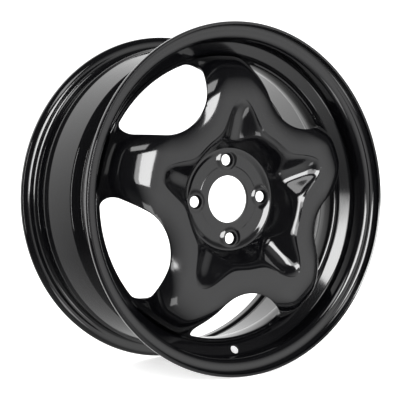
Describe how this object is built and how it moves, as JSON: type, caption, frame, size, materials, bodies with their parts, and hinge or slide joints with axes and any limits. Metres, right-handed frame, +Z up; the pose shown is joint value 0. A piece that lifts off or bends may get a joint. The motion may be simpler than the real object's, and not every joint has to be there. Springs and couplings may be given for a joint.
{
  "type": "steel wheel rim",
  "caption": "Pressed steel road wheel: rolled drop-centre rim with a star-shaped spoked disc, raised lug seats and a centre bore, in gloss black enamel.",
  "frame": {"origin": "on the wheel's axis, half way between the two flanges", "axes": "+Y along the axle towards the car, so the styled face looks along -Y; +Z up through the middle of a spoke, with the valve hole at the bottom"},
  "size_m": [0.4406, 0.195, 0.4404],
  "materials": {
    "black_enamel": "gloss"
  },
  "bodies": {
    "root": {"rim": "black_enamel", "disc": "black_enamel", "weld_beads": "black_enamel"}
  },
  "joints": []
}
